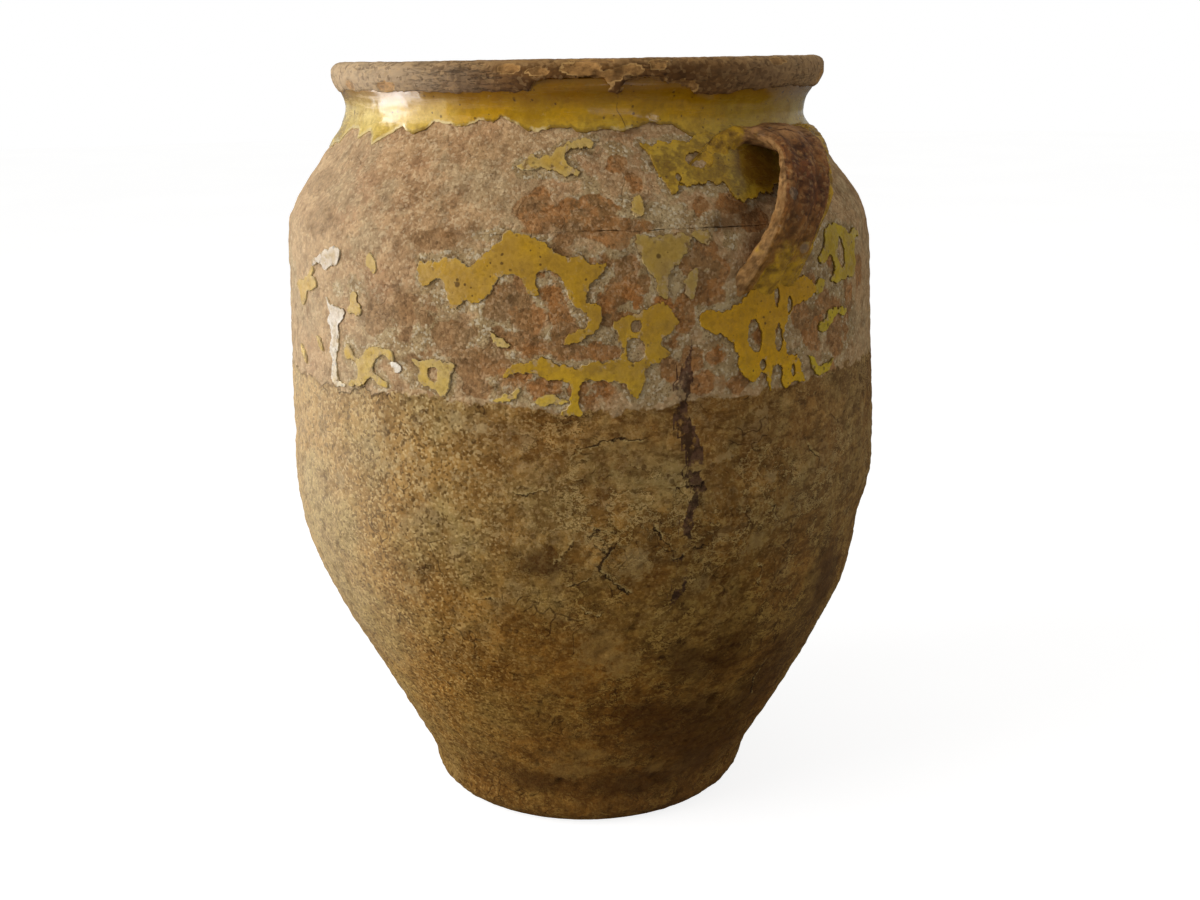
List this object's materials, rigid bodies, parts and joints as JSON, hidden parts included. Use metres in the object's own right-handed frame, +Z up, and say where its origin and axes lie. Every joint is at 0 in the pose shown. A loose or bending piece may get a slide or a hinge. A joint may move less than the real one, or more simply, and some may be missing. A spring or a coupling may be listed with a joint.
{
  "type": "confit pot",
  "caption": "Glazed earthenware storage pot with a narrow foot, full belly, sloping shoulder, short neck, rolled collar and strap handles; worn yellow glaze on the upper part.",
  "frame": {"origin": "middle of the foot's underside, on the surface the pot stands on", "axes": "+Z up along the pot's axis; +X through the middle of handle_right and -X through handle_left"},
  "size_m": [0.2684, 0.2548, 0.32],
  "materials": {
    "crusted_clay": "unglazed earthenware under a dry, grainy olive-brown crust",
    "shoulder_clay": "bare pinkish-brown earthenware with traces of pale slip where the glaze has flaked",
    "collar_clay": "dark bare earthenware, worn smooth on the top edge and chipped",
    "strap_clay": "pulled earthenware with finger grooves and worn edges",
    "lining_glaze": "honey-brown lead-type glaze, crazed and stained",
    "neck_glaze": "glossy ochre-yellow glaze with brown speckle",
    "body_glaze": "flaking yellow glaze, paler where thin"
  },
  "bodies": {
    "root": {"lower_body": "crusted_clay", "upper_body": "shoulder_clay", "rolled_collar": "collar_clay", "handle_right": "strap_clay", "handle_left": "strap_clay", "glaze_lining": "lining_glaze", "neck_glaze": "neck_glaze", "glaze_drape": "body_glaze", "glaze_tongue": "body_glaze", "glaze_island": "body_glaze", "glaze_under_handle": "body_glaze", "glaze_hook": "body_glaze", "glaze_low_run": "body_glaze", "glaze_back_drape": "body_glaze", "glaze_back_tongue": "body_glaze", "glaze_under_back_handle": "body_glaze", "glaze_back_hook": "body_glaze"}
  },
  "joints": []
}
